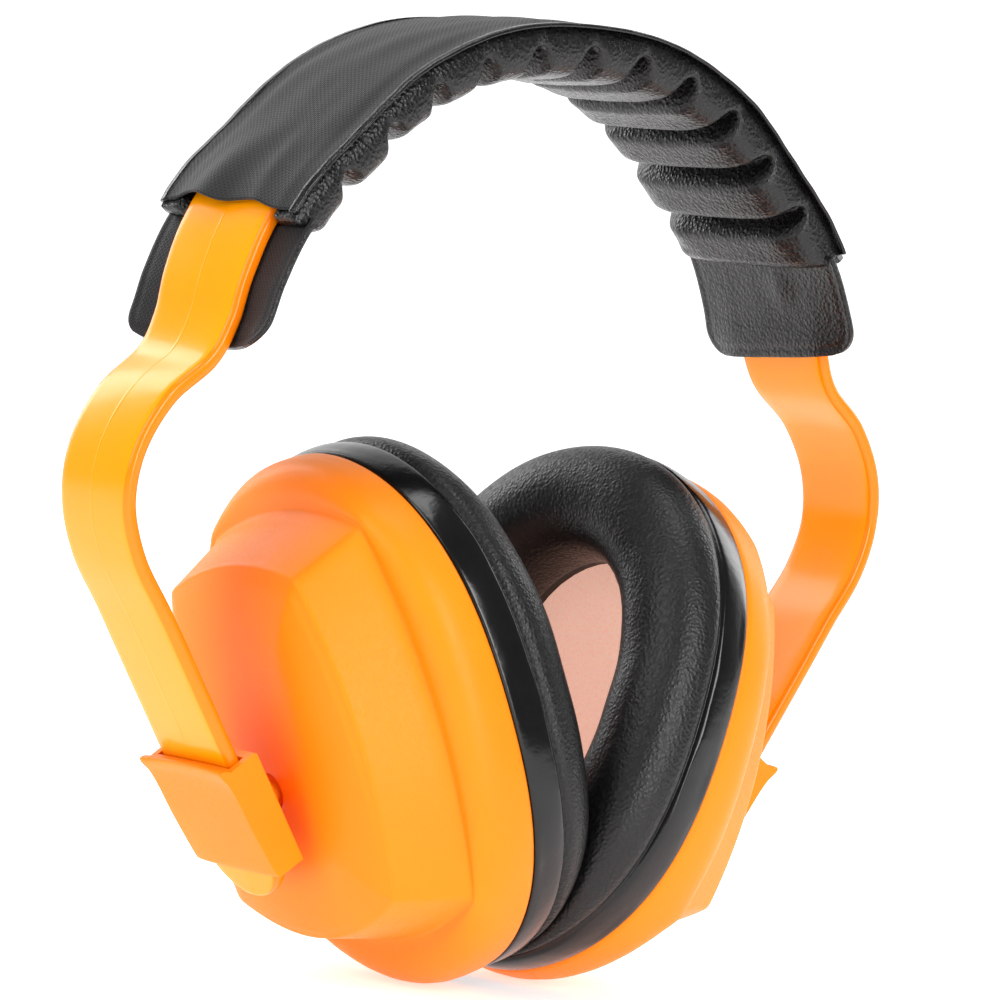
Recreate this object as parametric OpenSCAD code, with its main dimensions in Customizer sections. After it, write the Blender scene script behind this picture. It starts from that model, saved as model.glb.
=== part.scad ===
// Over-the-head earmuff hearing protector: one sprung plastic band with a padded, fabric covered
// crown, a sliding cup holder on each leg and two ball-jointed cups with soft ear cushions.
// Frame: X runs ear to ear (+X is the wearer's right-hand cup), -Y is the front, +Z is up.
// The origin is the underside of the crown pad at the middle of the crown, where it meets the head.

/* [Which piece] */
// Sub-part to show on its own, or "all"

/* [Band] */
// Thickness of the moulded band strip
band_t = 3.0; // [2:0.1:5]
// Half width of the strip on the straight legs
leg_half = 10.8; // [8:0.1:16]
// Half width of the strip at the widest bulge
bulge_half = 10.4; // [8:0.1:16]
// Half width of the strip over the crown
crown_half = 13.2; // [8:0.1:20]
// Height of the strip's centreline at the crown, above the level that the curve is drawn from
crown_z = 11.6; // [10:0.1:13]
// Vertical drop of the straight part of each leg
leg_drop = 55; // [40:0.5:80]
// Sideways run of a leg per unit of drop
leg_slope = 0.66; // [0.3:0.01:1]
// Half of the clear gap between the two halves of the band at the crown
crown_gap = 0.2; // [0.15:0.05:1]

/* [Crown pad and cover] */
// Width of the pad and of its cover
pad_w = 40; // [30:0.5:60]
// Thickness of the pad below the strip
pad_t = 6.4; // [5:0.1:9]
// Width of the pad's upright sides beside the strip
pad_side = 5; // [3:0.5:5]
// Depth of the grooves between the pad's ribs
groove_d = 4.5; // [0:0.5:4.5]
// Thickness of the woven cover
cover_t = 0.8; // [0.4:0.1:2]
// Width of the flaps that hang from the pad's ends
flap_w = 43.5; // [30:0.5:60]
// Thickness of the flaps
flap_t = 1.2; // [0.6:0.1:3]

/* [Cup holder] */
// Length of the sliding holder along the leg
slider_len = 25; // [16:0.5:40]
// Width of the holder
slider_w = 25.4; // [23.6:0.1:34]
// Clearance of the band in the holder's slot, each side
slot_gap = 0.1; // [0.05:0.01:0.4]
// Radius of the ball on the stud
ball_r = 4.4; // [4:0.1:6]
// Radius of the stud's neck
neck_r = 2.5; // [2:0.1:3]
// Drop of the holder's middle below the top of the straight leg
hold_drop = 38.65; // [36:0.05:44]

/* [Cup] */
// Mean radius of the cup's rim outline
rim_r = 48.1; // [40:0.1:60]
// Elongation of the rim outline
rim_e = 6.0; // [0:0.1:12]
// Wall thickness of the cup shell
wall = 2.5; // [1.5:0.1:4]
// Lean of the cup: tops apart, bottoms together
cup_lean = 18.5; // [0:0.5:30]
// Left cup turned about the line through its ball and its ear opening
left_spin = 9; // [-15:1:15]
// Left cup swivelled towards the front
left_yaw = 2; // [0:1:10]
// Right cup swivelled towards the front
right_yaw = 6; // [0:1:10]

/* [Ear cushion] */
// Thickness of the ear cushion
cushion_t = 19; // [12:0.5:25]
// Half height of the ear opening
hole_u = 31; // [25:0.5:36]
// Half width of the ear opening
hole_v = 20; // [15:0.5:28]

/* [Hidden] */
$fn = 48;

// ---- band centreline, crown to leg end, as a smooth curve in the X-Z plane ----
leg_top = [87.3, -104];
K = concat([[-21.5, crown_z - 2.3], [0, crown_z], [21.5, crown_z - 2.3], [41.7, 0.4], [58.6, -14.4],
            [66.8, -22.4], [72.1, -30.6], [75.7, -40], [77.7, -48.4], [81.6, -55.8],
            [90.4, -63.2], [96.3, -73], [97.6, -83.5], [94.2, -94]],
           [for (i = [0:5]) leg_top + i * leg_drop / 5 * [-leg_slope, -1]],
           [leg_top + 6 * leg_drop / 5 * [-leg_slope, -1]]);
SUB = 6;
NSEG = len(K) - 3;
function cr(a, b, c, d, t) = 0.5 * (2 * b + (c - a) * t + (2 * a - 5 * b + 4 * c - d) * t * t
                             + (3 * b - a - 3 * c + d) * t * t * t);
function crd(a, b, c, d, t) = 0.5 * ((c - a) + 2 * (2 * a - 5 * b + 4 * c - d) * t
                              + 3 * (3 * b - a - 3 * c + d) * t * t);
function seg_i(s) = min(floor(s), NSEG - 1);
function pt(s) = let (i = seg_i(s)) cr(K[i], K[i + 1], K[i + 2], K[i + 3], s - i);
function tg(s) = let (i = seg_i(s), v = crd(K[i], K[i + 1], K[i + 2], K[i + 3], s - i)) v / norm(v);
// outward normal: up at the crown, away from the head on the legs
function nm(s) = let (v = tg(s)) [-v[1], v[0]];
function off(s, d) = pt(s) + nm(s) * d;
// strip between offsets lo and hi, from curve position s0 to s1
function ribbon(s0, s1, lo, hi, n) = concat([for (k = [0:n]) off(s0 + (s1 - s0) * k / n, hi)],
                                            [for (k = [n:-1:0]) off(s0 + (s1 - s0) * k / n, lo)]);
module prism(pts, w) { rotate([90, 0, 0]) translate([0, 0, -w / 2]) linear_extrude(w) polygon(pts); }

s_mouth = 4.6;   // curve position of the cover's mouth
s_pad = 4.8;    // curve position of the pad's end
s_flap = 7.35;    // curve position of the flap's tip
s_end = NSEG;

// brings the ribs beside the middle groove to the level of the origin
lift = pad_t + band_t / 2 + 0.34 - crown_z;
module worn() { translate([0, 0, lift]) children(); }

module half_cut() { translate([crown_gap, -60, -220]) cube([200, 120, 260]); }

// ---- band ----
leg_a = atan(leg_slope);
end_z = leg_top[1] - leg_drop;
module band_r() {
  intersection() {
    prism(ribbon(0, s_end, -band_t / 2, band_t / 2, NSEG * SUB), 40);
    // width seen from the side, with the rounded lower end
    rotate([90, 0, 90]) linear_extrude(200) polygon(concat(
      [for (a = [90:-10:0]) [leg_half * cos(a), end_z + leg_half * cos(leg_a) * (1 - sin(a))]],
      [[leg_half, -112], [bulge_half, -84], [11.2, -64], [12.8, -36], [crown_half, -20], [crown_half, 20]],
      [[-crown_half, 20], [-crown_half, -20], [-12.8, -36], [-11.2, -64], [-bulge_half, -84], [-leg_half, -112]],
      [for (a = [0:10:80]) [-leg_half * cos(a), end_z + leg_half * cos(leg_a) * (1 - sin(a))]]));
    half_cut();
  }
}
module mirrored() { mirror([1, 0, 0]) children(); }

// ---- pad: ribs with grooves between them on the head side ----
rib = 14.1;
// length along the curve from the crown, near enough for spacing the ribs
function run(s) = s < 3 ? 22 * s : 66 + (s - 3) * 10.4;
function groove(s) = let (f = run(s) / rib, g = abs(f - floor(f) - 0.5) * 2) s > s_pad - 0.45 ? 0 : groove_d * pow(g, 6);
function pad_low(s) = -(band_t / 2 + 0.1 + pad_t - groove(s) - (s > s_pad - 0.25 ? (s - s_pad + 0.25) * 16 : 0));
module pad_r() {
  n = 110;
  intersection() {
    union() {
      prism(concat([for (k = [0:28]) off(s_pad * k / 28, -band_t / 2 - 0.1)],
                   [for (k = [n:-1:0]) off(s_pad * k / n, pad_low(s_pad * k / n))]), pad_w);
      for (m = [-1, 1]) translate([0, m * (pad_w / 2 - 1 - pad_side / 2), 0])
        prism(ribbon(0, s_pad - 0.03, -band_t / 2 - 0.9, band_t / 2 - 0.05, 28), pad_side);
    }
    half_cut();
  }
}
// ---- cover: woven sleeve over the outside of the strip, turned down along both edges ----
module cover_r() {
  intersection() {
    union() {
      prism(ribbon(0, s_mouth, band_t / 2 + 0.1, band_t / 2 + 0.1 + cover_t, 36), pad_w);
      for (m = [-1, 1]) translate([0, m * (pad_w / 2 - cover_t / 2), 0])
        prism(ribbon(0, s_mouth, -band_t / 2, band_t / 2 + 0.1 + cover_t, 36), cover_t);
    }
    half_cut();
  }
}
// ---- flap: flat leathercloth tail on the head side of the strip ----
module flap_r() {
  intersection() {
    prism(ribbon(s_pad + 0.03, s_flap, -band_t / 2 - 0.2 - flap_t, -band_t / 2 - 0.2, 20), flap_w);
    rotate([90, 0, 90]) linear_extrude(200) polygon(concat(
      [for (a = [0:15:90]) [flap_w / 2 - 6 + 6 * cos(a), -45 - 6 * sin(a)]],
      [for (a = [90:-15:0]) [-flap_w / 2 + 6 - 6 * cos(a), -45 - 6 * sin(a)]],
      [[-flap_w / 2, 20], [flap_w / 2, 20]]));
  }
}

// ---- cup holder, in the leg's own frame: X away from the head, Z up along the leg ----
hold_c = leg_top + hold_drop * [-leg_slope, -1];
module on_leg() { translate([hold_c[0], 0, hold_c[1]]) rotate([0, leg_a, 0]) children(); }
hold_in = 4.3;   // from the strip's middle to the holder's inner face
module holder_r() {
  h = slider_len / 2;
  on_leg() difference() {
    // section across the leg: lip at the top outer edge, chamfer at the lower inner edge
    rotate([90, 0, 0]) translate([0, 0, -slider_w / 2]) linear_extrude(slider_w)
      polygon([[-hold_in, h], [-hold_in, -h + 0.4], [-hold_in + 0.4, -h], [2.5, -h], [2.9, -h + 0.5], [3.4, -h + 5], [3.75, -2], [3.9, 4],
               [4.05, h - 4.5], [4.5, h - 2], [5.1, h], [4.7, h + 0.7], [3.9, h + 0.4], [3.3, h]]);
    translate([-band_t / 2 - slot_gap, -leg_half - slot_gap, -h - 5])
      cube([band_t + 2 * slot_gap, 2 * (leg_half + slot_gap), slider_len + 10]);
  }
}
// ---- cup frame: X outward from the ear, Z up along the cup, origin in the rim plane ----
ball_l = [26.8, 0, -6];
rim_g = [22.97, 0, -124.04];   // middle of the right cup's rim plane
ball_g = rim_g + ball_l[0] * [cos(cup_lean), 0, -sin(cup_lean)] + ball_l[2] * [sin(cup_lean), 0, cos(cup_lean)];
module on_cup(yaw, spin) {
  translate(ball_g) rotate([0, 0, yaw]) rotate([0, cup_lean, 0]) rotate([-spin, 0, 0]) translate(-ball_l) children();
}
module slab(pts, w, tilt, t) { translate([w, 0, 0]) rotate([0, tilt, 0]) rotate([90, 0, 90]) linear_extrude(t) polygon(pts); }
function rim(d) = [for (a = [0:5:355]) let (r = rim_r + rim_e * cos(2 * a) - 0.25 * cos(4 * a) - d) [r * sin(a), r * cos(a)]];
function egg(u, v, n) = [for (a = [0:360 / n:359.9]) [v * sin(a) * (1 + 0.06 * pow(sin(2 * a), 2)), u * cos(a) * (1 + 0.03 * pow(sin(2 * a), 2))]];
// four-sided outline: nearly straight top, bowed sides, arched bottom
function crest(a1, u1, h1, a2, u2, h2, b) = concat(
  [for (t = [-1:0.25:0.99]) [a1 * t, u1 + h1 * (1 - t * t)]],
  [for (t = [0:0.125:0.99]) [a1 + (a2 - a1) * t + b * 4 * t * (1 - t), u1 + (u2 - u1) * t]],
  [for (t = [1:-0.2:-0.99]) [a2 * t, u2 - h2 * (1 - t * t)]],
  [for (t = [1:-0.125:0.01]) [-(a1 + (a2 - a1) * t + b * 4 * t * (1 - t)), u1 + (u2 - u1) * t]]);
function base_o(d) = crest(25 - d, 40 - d, 4.8, 31.5 - d, -33.5 + d * 0.8, 8.5, 6);
function face_o(d) = crest(21.5 - d, 34.5 - d, 4.3, 26.5 - d, -29 + d * 0.8, 8, 5);

module shell_l() {
  difference() {
    union() {
      hull() { slab(rim(0), 0.15, 0, 5.6); slab(rim(1.3), 7.6, 0, 0.2); slab(base_o(-1.6), 13.0, -2.2, 0.2); }
      hull() {
        slab(base_o(0), 12.6, -2.2, 0.2); slab(face_o(0), 27.4, -1.2, 0.2);
        slab(face_o(5), 29.3, -1.2, 0.2); slab(face_o(10), 30.5, -1.2, 0.2); slab(face_o(15), 31.0, -1.2, 0.2);
      }
    }
    hull() { slab(rim(3), -1, 0, 6); slab(base_o(1.2), 10.4, -2.2, 0.2); }
    hull() { slab(base_o(wall), 9, -2.2, 0.2); slab(face_o(wall), 25.1, -1.2, 0.2); slab(face_o(10), 27.9, -1.2, 0.2); }
    // round mouth for the stud, over a hollow for the seat
    translate(ball_l) sphere(r = seat_r + 0.25, $fn = 64);
    translate(ball_l) rotate([0, 90, 0]) cylinder(r = 4.0, h = 20);
  }
}
// ---- housing moulded behind the face that holds the ball seat ----
seat_r = 5.7;
module housing_l() {
  translate(ball_l) rotate([0, 90, 0]) difference() {
    translate([0, 0, -7.2]) cylinder(r = 8.6, h = 8.8);
    sphere(r = seat_r + 0.05, $fn = 64);
    translate([0, 0, -12]) cylinder(r = 2.4, h = 8);
    translate([0, 0, 0]) cylinder(r = 5.75, h = 6);
  }
}
// ---- the stud's frame: Z runs from the ball centre out to the holder ----
module on_stud() { translate(ball_g) rotate([0, 90 + cup_lean, 0]) children(); }
// ---- ball stud: root on the holder's inner face, neck and ball ----
module stud_r() {
  difference() {
    on_stud() union() {
      cylinder(r = neck_r, h = 16);
      translate([0, 0, 6.4]) cylinder(r1 = neck_r, r2 = neck_r + 3.2, h = 6.4);
      sphere(r = ball_r, $fn = 64);
    }
    on_leg() translate([-hold_in, -20, -30]) cube([40, 40, 60]);
    // flat and moulding recess at the ball's far end
    on_stud() translate([0, 0, -ball_r - 2.3]) cylinder(r = ball_r, h = 3);
    on_stud() translate([0, 0, -ball_r]) cylinder(r = 1.1, h = 3.4);
  }
}
// ---- seat: thin spherical liner between ball and housing, open towards the neck ----
module seat_r_mod() {
  on_stud() difference() {
    sphere(r = seat_r, $fn = 64);
    sphere(r = ball_r + 0.05, $fn = 64);
    translate([0, 0, 3.0]) cylinder(r = 7, h = 8);
    // slit that lets the seat spring over the ball
    translate([-0.4, -8, 0.5]) cube([0.8, 16, 6]);
    translate([0, 0, -9]) cylinder(r = 1.6, h = 6);
  }
}
// ---- foam that fills the cup behind the ear ----
module foam_l() { slab(base_o(5.5), 2.3, 0, 11.2); }
// ---- ring plate that carries the cushion and snaps into the rim ----
module plate_l() {
  difference() {
    slab(rim(3.4), 0.2, 0, 1.8);
    slab(egg(hole_u + 2, hole_v + 2, 48), -1, 0, 5);
  }
}
// ---- ear cushion, pressed flat where the two cups meet ----
module cushion_l() {
  difference() {
    hull() { slab(rim(0.4), -7.5, 0, 7.5); slab(rim(2.2), -13.5, 0, 0.2); slab(rim(7.5), -cushion_t, 0, 0.2); }
    hull() { slab(egg(hole_u, hole_v, 48), -12, 0, 14); slab(egg(hole_u + 2.5, hole_v + 2.5, 48), -cushion_t - 0.5, 0, 0.2); }
  }
}
// clears the mid plane with room for the swivel: fr and bk are the wedge angles at front and back
module press_r(fr, bk) {
  translate([0, 0, -230]) linear_extrude(200) polygon([[0.25, 0], [0.25 + 60 * tan(fr), -60], [-60, -60], [-60, 60], [0.25 + 60 * tan(bk), 60]]);
}
module cushion_side(yaw, spin, fr, bk) {
  difference() { on_cup(yaw, spin) cushion_l(); press_r(fr, bk); }
}

C_BAND = [1.0, 0.62, 0.10]; C_CUP = [1.0, 0.55, 0.16]; C_BLK = [0.06, 0.06, 0.065];
C_FAB = [0.11, 0.11, 0.12]; C_FOAM = [0.86, 0.58, 0.48]; C_PLT = [0.12, 0.12, 0.13];

module band_right() { color(C_BAND) worn() band_r(); }
module band_left() { color(C_BAND) worn() mirrored() band_r(); }
module crown_pad_right() { color(C_BLK) worn() pad_r(); }
module crown_pad_left() { color(C_BLK) worn() mirrored() pad_r(); }
module band_cover_right() { color(C_FAB) worn() cover_r(); }
module band_cover_left() { color(C_FAB) worn() mirrored() cover_r(); }
module pad_flap_right() { color(C_BLK) worn() flap_r(); }
module pad_flap_left() { color(C_BLK) worn() mirrored() flap_r(); }
module cup_holder_right() { color(C_CUP) worn() holder_r(); }
module cup_holder_left() { color(C_CUP) worn() mirrored() holder_r(); }
module ball_stud_right() { color(C_CUP) worn() stud_r(); }
module ball_stud_left() { color(C_CUP) worn() mirrored() stud_r(); }
module ball_seat_right() { color(C_PLT) worn() seat_r_mod(); }
module ball_seat_left() { color(C_PLT) worn() mirrored() seat_r_mod(); }
module pivot_housing_right() { color(C_CUP) worn() on_cup(right_yaw, 0) housing_l(); }
module pivot_housing_left() { color(C_CUP) worn() mirrored() on_cup(left_yaw, left_spin) housing_l(); }
module cup_shell_right() { color(C_CUP) worn() on_cup(right_yaw, 0) shell_l(); }
module cup_shell_left() { color(C_CUP) worn() mirrored() on_cup(left_yaw, left_spin) shell_l(); }
module sound_foam_right() { color(C_FOAM) worn() on_cup(right_yaw, 0) foam_l(); }
module sound_foam_left() { color(C_FOAM) worn() mirrored() on_cup(left_yaw, left_spin) foam_l(); }
module cushion_plate_right() { color(C_PLT) worn() on_cup(right_yaw, 0) plate_l(); }
module cushion_plate_left() { color(C_PLT) worn() mirrored() on_cup(left_yaw, left_spin) plate_l(); }
module ear_cushion_right() { color(C_BLK) worn() cushion_side(right_yaw, 0, 8.4, 2.4); }
module ear_cushion_left() { color(C_BLK) worn() mirrored() cushion_side(left_yaw, left_spin, 5.4, 5.4); }

band_left();
band_right();
crown_pad_left();
crown_pad_right();
band_cover_left();
band_cover_right();
pad_flap_left();
pad_flap_right();
cup_holder_left();
cup_holder_right();
ball_stud_left();
ball_stud_right();
ball_seat_left();
ball_seat_right();
pivot_housing_left();
pivot_housing_right();
cup_shell_left();
cup_shell_right();
sound_foam_left();
sound_foam_right();
cushion_plate_left();
cushion_plate_right();
ear_cushion_left();
ear_cushion_right();
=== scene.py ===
import bpy, bmesh, math
import numpy as np
from mathutils import Vector, Matrix


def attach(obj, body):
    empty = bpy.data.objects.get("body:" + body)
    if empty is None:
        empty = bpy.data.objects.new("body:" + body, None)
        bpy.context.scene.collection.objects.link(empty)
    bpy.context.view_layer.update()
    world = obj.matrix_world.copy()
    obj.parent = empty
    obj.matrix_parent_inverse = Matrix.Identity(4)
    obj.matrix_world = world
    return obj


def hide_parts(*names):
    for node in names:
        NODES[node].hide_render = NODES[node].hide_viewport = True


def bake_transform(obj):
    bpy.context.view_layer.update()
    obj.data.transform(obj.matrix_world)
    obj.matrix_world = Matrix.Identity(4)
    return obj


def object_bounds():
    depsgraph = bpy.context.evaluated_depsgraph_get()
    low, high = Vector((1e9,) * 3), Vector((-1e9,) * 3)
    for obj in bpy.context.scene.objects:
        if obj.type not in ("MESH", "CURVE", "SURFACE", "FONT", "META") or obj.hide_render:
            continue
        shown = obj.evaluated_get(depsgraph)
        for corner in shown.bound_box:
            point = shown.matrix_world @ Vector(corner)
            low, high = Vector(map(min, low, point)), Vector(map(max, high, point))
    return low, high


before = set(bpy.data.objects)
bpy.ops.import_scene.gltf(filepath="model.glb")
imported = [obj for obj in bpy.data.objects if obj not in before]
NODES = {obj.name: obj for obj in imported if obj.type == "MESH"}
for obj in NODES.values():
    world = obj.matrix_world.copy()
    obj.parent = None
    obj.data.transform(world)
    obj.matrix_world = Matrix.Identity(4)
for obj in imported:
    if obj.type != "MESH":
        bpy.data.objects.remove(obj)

LO0, HI0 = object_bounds()
MM = 0.001
rng = np.random.RandomState(7)

# ------------------------------------------------------------------ band curve
LIFT = -3.36
LT = np.array([87.3, -104.0])
K = [[-21.5, 9.3], [0, 11.6], [21.5, 9.3], [41.7, 0.4], [58.6, -14.4], [66.8, -22.4], [72.1, -30.6], [75.7, -40.0],
     [77.7, -48.4], [81.6, -55.8], [90.4, -63.2], [96.3, -73.0], [97.6, -83.5], [94.2, -94.0]]
K += [list(LT + i * 11.0 * np.array([-0.66, -1.0])) for i in range(7)]
K = np.array(K, float)
K[:, 1] += LIFT
LT[1] += LIFT
NSEG = len(K) - 3


def _cr(s):
    s = np.asarray(s, float)
    i = np.clip(np.floor(s).astype(int), 0, NSEG - 1)
    t = (s - i)[..., None]
    a, b, c, d = K[i], K[i + 1], K[i + 2], K[i + 3]
    p = 0.5 * (2 * b + (c - a) * t + (2 * a - 5 * b + 4 * c - d) * t ** 2 + (3 * b - a - 3 * c + d) * t ** 3)
    v = 0.5 * ((c - a) + 2 * (2 * a - 5 * b + 4 * c - d) * t + 3 * (3 * b - a - 3 * c + d) * t ** 2)
    return p, v / np.linalg.norm(v, axis=-1, keepdims=True)


_S = np.linspace(0, NSEG, 4001)
_P, _V = _cr(_S)
_A = np.concatenate([[0], np.cumsum(np.linalg.norm(np.diff(_P, axis=0), axis=1))])
LEN = _A[-1]


def s2a(s):
    return float(np.interp(s, _S, _A))


def curve(a):
    """signed distance from the crown -> point, outward normal and direction in X-Z (left side negative)"""
    a = np.asarray(a, float)
    s = np.interp(np.abs(a), _A, _S)
    p, v = _cr(s)
    n = np.stack([-v[..., 1], v[..., 0]], -1)
    sg = np.where(a < 0, -1.0, 1.0)[..., None]
    m = np.concatenate([sg, np.ones_like(sg)], -1)
    return p * m, n * m, v * np.concatenate([np.ones_like(sg), sg], -1)


def on_curve(a, y, n):
    p, nn, _ = curve(a)
    q = p + nn * np.asarray(n, float)[..., None]
    return np.stack([q[..., 0], np.broadcast_to(y, q[..., 0].shape), q[..., 1]], -1)


A_MOUTH, A_PAD = s2a(4.6), s2a(4.8)

# ------------------------------------------------------------------ cup and leg frames


def R(ax, deg):
    a = math.radians(deg); c, s = math.cos(a), math.sin(a)
    return np.array({'x': [[1, 0, 0], [0, c, -s], [0, s, c]], 'y': [[c, 0, s], [0, 1, 0], [-s, 0, c]],
                     'z': [[c, -s, 0], [s, c, 0], [0, 0, 1]]}[ax])


LEG_A = math.degrees(math.atan(0.66))
sl, cl = math.sin(math.radians(LEG_A)), math.cos(math.radians(LEG_A))
HOLD = LT + 38.65 * np.array([-0.66, -1.0])
BALL_L = np.array([26.8, 0, -6.0])
_cl, _sl = math.cos(math.radians(18.5)), math.sin(math.radians(18.5))
BALL = np.array([22.97, 0, -124.04 + LIFT]) + 26.8 * np.array([_cl, 0, -_sl]) - 6.0 * np.array([_sl, 0, _cl])
YAW = {'right': 6, 'left': 2}
SPIN = {'right': 0, 'left': 9}
SIDES = ('left', 'right')
SG = {'right': 1.0, 'left': -1.0}


def cup_pts(side, q):
    """cup frame (out, across, up) in mm -> row frame in mm"""
    M = R('z', YAW[side]) @ R('y', 18.5) @ R('x', -SPIN[side])
    p = BALL + (np.asarray(q, float) - BALL_L) @ M.T
    p[..., 0] *= SG[side]
    return p


def leg_pts(side, q):
    q = np.asarray(q, float)
    p = q @ R('y', LEG_A).T + np.array([HOLD[0], 0, HOLD[1]])
    p[..., 0] *= SG[side]
    return p


# ------------------------------------------------------------------ mesh helpers


def make(name, verts, faces, flip=False, smooth=True):
    me = bpy.data.meshes.new(name)
    if flip:
        faces = [tuple(reversed(f)) for f in faces]
    me.from_pydata([tuple(v) for v in (np.asarray(verts, float) * MM)], [], faces)
    me.validate()
    if smooth:
        me.polygons.foreach_set("use_smooth", [True] * len(me.polygons))
    me.update()
    ob = bpy.data.objects.new(name, me)
    bpy.context.scene.collection.objects.link(ob)
    return ob


def grid_faces(nu, nv, cu, cv, base=0):
    f = []
    for i in range(nu if cu else nu - 1):
        i2 = (i + 1) % nu
        for j in range(nv if cv else nv - 1):
            j2 = (j + 1) % nv
            f.append((base + i * nv + j, base + i2 * nv + j, base + i2 * nv + j2, base + i * nv + j2))
    return f


def outward(ob):
    bm = bmesh.new(); bm.from_mesh(ob.data)
    bmesh.ops.recalc_face_normals(bm, faces=bm.faces)
    bm.to_mesh(ob.data); bm.free(); ob.data.update()


def attr_f(ob, name, vals):
    a = ob.data.attributes.new(name, "FLOAT", "POINT")
    a.data.foreach_set("value", np.asarray(vals, np.float32).ravel())


def attr_v(ob, name, vals):
    a = ob.data.attributes.new(name, "FLOAT_VECTOR", "POINT")
    a.data.foreach_set("vector", np.asarray(vals, np.float32).ravel())


def smoothstep(e0, e1, x):
    t = np.clip((np.asarray(x, float) - e0) / (e1 - e0), 0, 1)
    return t * t * (3 - 2 * t)


def wob(x, y, seed, n=6, f0=0.05, f1=0.25):
    """smooth repeatable waviness of unit size"""
    r = np.random.RandomState(seed)
    out = 0.0
    for _ in range(n):
        fx, fy = r.uniform(-f1, f1, 2)
        if abs(fx) + abs(fy) < f0:
            fx += f0
        out = out + np.sin(x * fx * 2 * math.pi / 2 + y * fy * 2 * math.pi / 2 + r.uniform(0, 6.28))
    return out / math.sqrt(n)


def spline(pts, n, closed=False):
    """Catmull-Rom through pts (m, k), n samples a span"""
    pts = np.asarray(pts, float)
    m = len(pts)
    out = []
    rngi = range(m) if closed else range(m - 1)
    for i in rngi:
        if closed:
            a, b, c, d = pts[(i - 1) % m], pts[i], pts[(i + 1) % m], pts[(i + 2) % m]
        else:
            a, b, c, d = pts[max(i - 1, 0)], pts[i], pts[i + 1], pts[min(i + 2, m - 1)]
        for k in range(n):
            t = k / n
            out.append(0.5 * (2 * b + (c - a) * t + (2 * a - 5 * b + 4 * c - d) * t * t + (3 * b - a - 3 * c + d) * t ** 3))
    if not closed:
        out.append(pts[-1])
    return np.array(out)


def modify(ob, kind, **kw):
    m = ob.modifiers.new(kind.lower(), kind)
    for k, v in kw.items():
        setattr(m, k, v)
    return m


def apply_all(ob):
    dg = bpy.context.evaluated_depsgraph_get()
    me = bpy.data.meshes.new_from_object(ob.evaluated_get(dg))
    ob.modifiers.clear()
    old = ob.data
    ob.data = me
    bpy.data.meshes.remove(old)


# ------------------------------------------------------------------ materials


class Mat:
    def __init__(self, name):
        self.m = bpy.data.materials.new(name)
        self.m.use_nodes = True
        self.nt = self.m.node_tree
        self.bsdf = self.nt.nodes["Principled BSDF"]
        self.out = self.nt.nodes["Material Output"]

    def n(self, kind, **kw):
        nd = self.nt.nodes.new(kind)
        for k, v in kw.items():
            if k.startswith("i_"):
                nd.inputs[k[2:].replace("_", " ")].default_value = v
            else:
                setattr(nd, k, v)
        return nd

    def link(self, a, b):
        self.nt.links.new(a, b)

    def set(self, **kw):
        for k, v in kw.items():
            self.bsdf.inputs[k.replace("_", " ")].default_value = v

    def math(self, op, a, b=None, c=None):
        nd = self.nt.nodes.new("ShaderNodeMath"); nd.operation = op
        for i, x in enumerate((a, b, c)):
            if x is None:
                continue
            if isinstance(x, (int, float)):
                nd.inputs[i].default_value = x
            else:
                self.link(x, nd.inputs[i])
        return nd.outputs[0]

    def mix(self, fac, a, b):
        nd = self.nt.nodes.new("ShaderNodeMix"); nd.data_type = "RGBA"
        ins = [s for s in nd.inputs if s.enabled]
        for s, x in zip((nd.inputs[0], nd.inputs[6], nd.inputs[7]), (fac, a, b)):
            if hasattr(x, "is_linked") or hasattr(x, "links"):
                self.link(x, s)
            else:
                s.default_value = x
        return nd.outputs[2]

    def ramp(self, fac, stops):
        nd = self.nt.nodes.new("ShaderNodeValToRGB")
        cr = nd.color_ramp
        while len(cr.elements) < len(stops):
            cr.elements.new(0.5)
        for e, (p, c) in zip(cr.elements, stops):
            e.position = p
            e.color = c if len(c) == 4 else (*c, 1)
        self.link(fac, nd.inputs[0])
        return nd.outputs[0]

    def noise(self, vec, scale, detail=2.0, rough=0.5, dist=0.0):
        nd = self.n("ShaderNodeTexNoise")
        nd.inputs["Scale"].default_value = scale
        nd.inputs["Detail"].default_value = detail
        nd.inputs["Roughness"].default_value = rough
        nd.inputs["Distortion"].default_value = dist
        if vec is not None:
            self.link(vec, nd.inputs["Vector"])
        return nd.outputs[0]

    def voro(self, vec, scale, feature="F1", smooth=0.5, rand=1.0):
        nd = self.n("ShaderNodeTexVoronoi", feature=feature)
        nd.inputs["Scale"].default_value = scale
        nd.inputs["Randomness"].default_value = rand
        if feature == "SMOOTH_F1":
            nd.inputs["Smoothness"].default_value = smooth
        if vec is not None:
            self.link(vec, nd.inputs["Vector"])
        return nd.outputs[0]

    def bump(self, h, dist, strength=1.0, prev=None):
        nd = self.n("ShaderNodeBump")
        nd.inputs["Distance"].default_value = dist
        nd.inputs["Strength"].default_value = strength
        self.link(h, nd.inputs["Height"])
        if prev is not None:
            self.link(prev, nd.inputs["Normal"])
        return nd.outputs[0]

    def attr(self, name, vec=False):
        nd = self.n("ShaderNodeAttribute", attribute_name=name)
        return nd.outputs["Vector"] if vec else nd.outputs["Fac"]

    def obj(self):
        return self.n("ShaderNodeTexCoord").outputs["Object"]


def lin(r, g, b):
    f = lambda c: (c / 255 / 12.92) if c <= 10 else ((c / 255 + 0.055) / 1.055) ** 2.4
    return (f(r), f(g), f(b), 1.0)


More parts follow.
